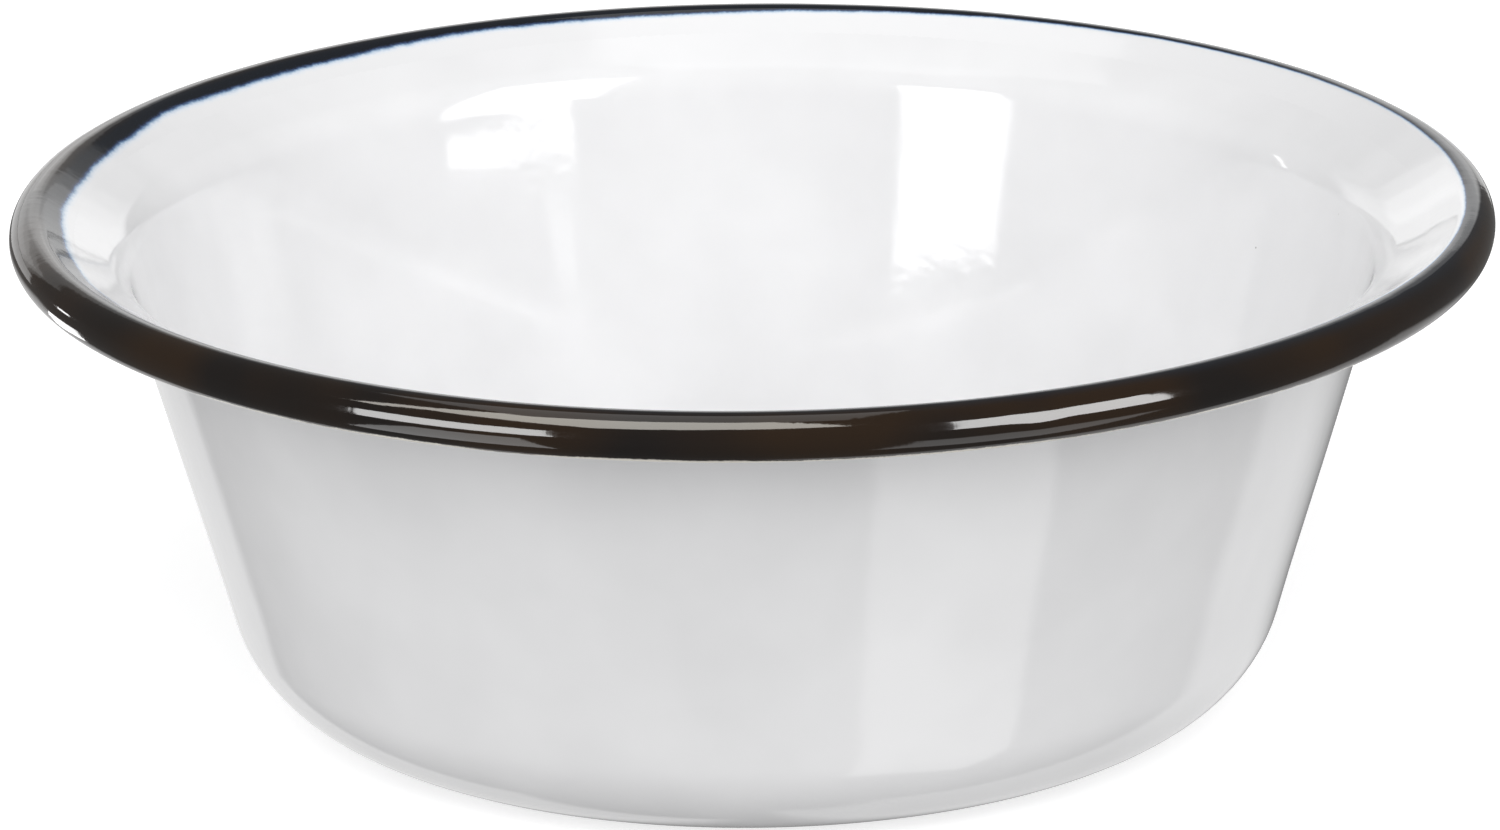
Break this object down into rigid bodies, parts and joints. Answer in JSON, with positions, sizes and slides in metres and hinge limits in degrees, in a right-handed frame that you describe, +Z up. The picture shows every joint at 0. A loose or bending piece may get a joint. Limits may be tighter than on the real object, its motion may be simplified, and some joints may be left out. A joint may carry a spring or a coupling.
{
  "type": "enamel basin bowl",
  "caption": "Round enamelled steel basin with a leaning wall, a flared lip, a rolled black rim and a raised panel in its base, for holding food or water.",
  "frame": {"origin": "centre of the standing face, on the basin's axis", "axes": "+Z up along the basin's axis; the basin is round, so X and Y are any two level directions, with -Y towards the picture's camera"},
  "size_m": [0.22, 0.22, 0.077],
  "materials": {
    "sheet_steel": "bare cold-rolled sheet, pickled before coating",
    "ground_coat": "dark cobalt-bearing enamel ground coat, fired",
    "white_enamel": "glossy opaque white enamel, fired",
    "black_enamel": "glossy black enamel, brushed on and fired"
  },
  "bodies": {
    "root": {"steel_pressing": "sheet_steel", "ground_coat_inside": "ground_coat", "ground_coat_outside": "ground_coat", "white_enamel_inside": "white_enamel", "white_enamel_outside": "white_enamel", "black_rim_enamel": "black_enamel"}
  },
  "joints": []
}
